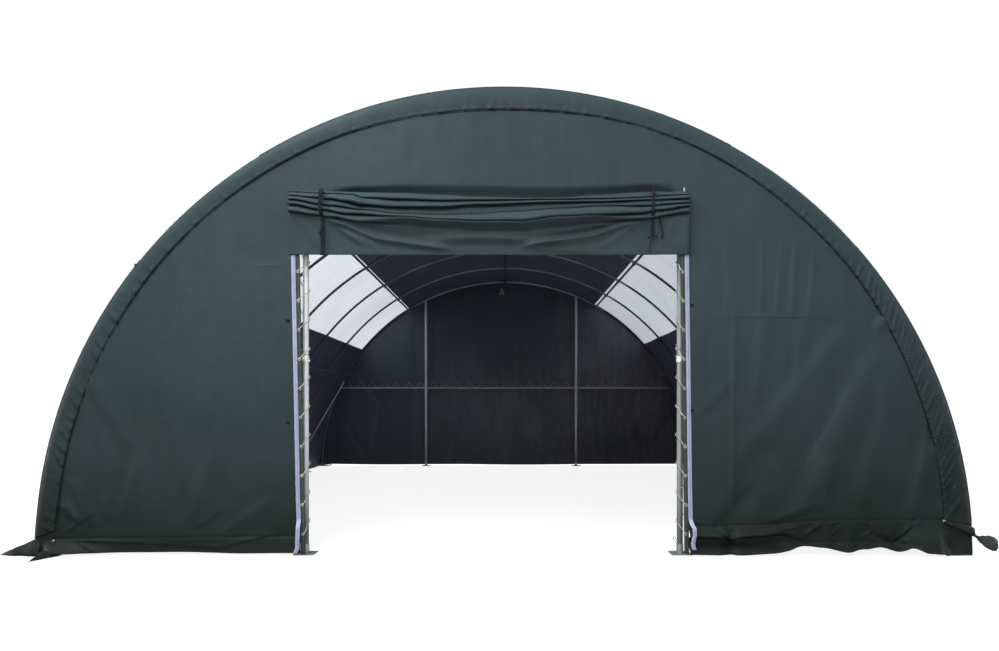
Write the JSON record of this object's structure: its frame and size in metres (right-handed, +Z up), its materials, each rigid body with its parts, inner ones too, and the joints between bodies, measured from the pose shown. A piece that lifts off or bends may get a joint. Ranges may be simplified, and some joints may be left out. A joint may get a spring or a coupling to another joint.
{
  "type": "fabric storage building",
  "caption": "Half-round fabric storage building: a tube arch frame under a laced cover with skylight strips, fabric ends and a rolled-up doorway.",
  "frame": {"origin": "on the ground at the middle of the plan", "axes": "+X right seen from the doorway end, +Y from the doorway end to the back, +Z up"},
  "size_m": [9.71, 12.393, 4.575],
  "materials": {
    "galvanised_tube": "galvanised, satin",
    "galvanised_bracing": "galvanised, satin",
    "zinc_hardware": "zinc plated, dull",
    "cover_fabric": "coated woven fabric, dark green, satin",
    "skylight_fabric": "translucent white coated fabric",
    "end_fabric": "coated woven fabric, dark green, satin",
    "strap_webbing": "dark webbing",
    "zip_tape": "white zip tape",
    "lacing_strip": "dark green coated fabric",
    "rope": "natural coloured laid rope"
  },
  "bodies": {
    "root": {"front_arch": "galvanised_tube", "arch_2": "galvanised_tube", "arch_3": "galvanised_tube", "arch_4": "galvanised_tube", "arch_5": "galvanised_tube", "arch_6": "galvanised_tube", "back_arch": "galvanised_tube", "left_foot_plates": "zinc_hardware", "right_foot_plates": "zinc_hardware", "ridge_purlin": "galvanised_bracing", "left_upper_purlin": "galvanised_bracing", "right_upper_purlin": "galvanised_bracing", "left_lower_purlin": "galvanised_bracing", "right_lower_purlin": "galvanised_bracing", "purlin_clamps": "zinc_hardware", "front_post_left": "galvanised_tube", "front_post_right": "galvanised_tube", "back_posts": "galvanised_tube", "post_feet": "zinc_hardware", "front_header": "galvanised_bracing", "front_side_girts": "galvanised_bracing", "back_girt": "galvanised_bracing", "left_wind_braces": "galvanised_bracing", "right_wind_braces": "galvanised_bracing", "cover_left_wall": "cover_fabric", "left_skylight": "skylight_fabric", "cover_crown": "cover_fabric", "right_skylight": "skylight_fabric", "cover_right_wall": "cover_fabric", "front_band": "cover_fabric", "back_band": "cover_fabric", "front_panel_left": "end_fabric", "front_panel_right": "end_fabric", "front_panel_head": "end_fabric", "back_panel": "end_fabric", "door_roll": "end_fabric", "door_valance": "end_fabric", "door_straps": "strap_webbing", "door_zips": "zip_tape", "lacing_strips": "lacing_strip", "front_lacing": "rope", "back_lacing": "rope", "left_ground_skirt": "cover_fabric", "right_ground_skirt": "cover_fabric", "ridge_toggle": "rope"}
  },
  "joints": []
}
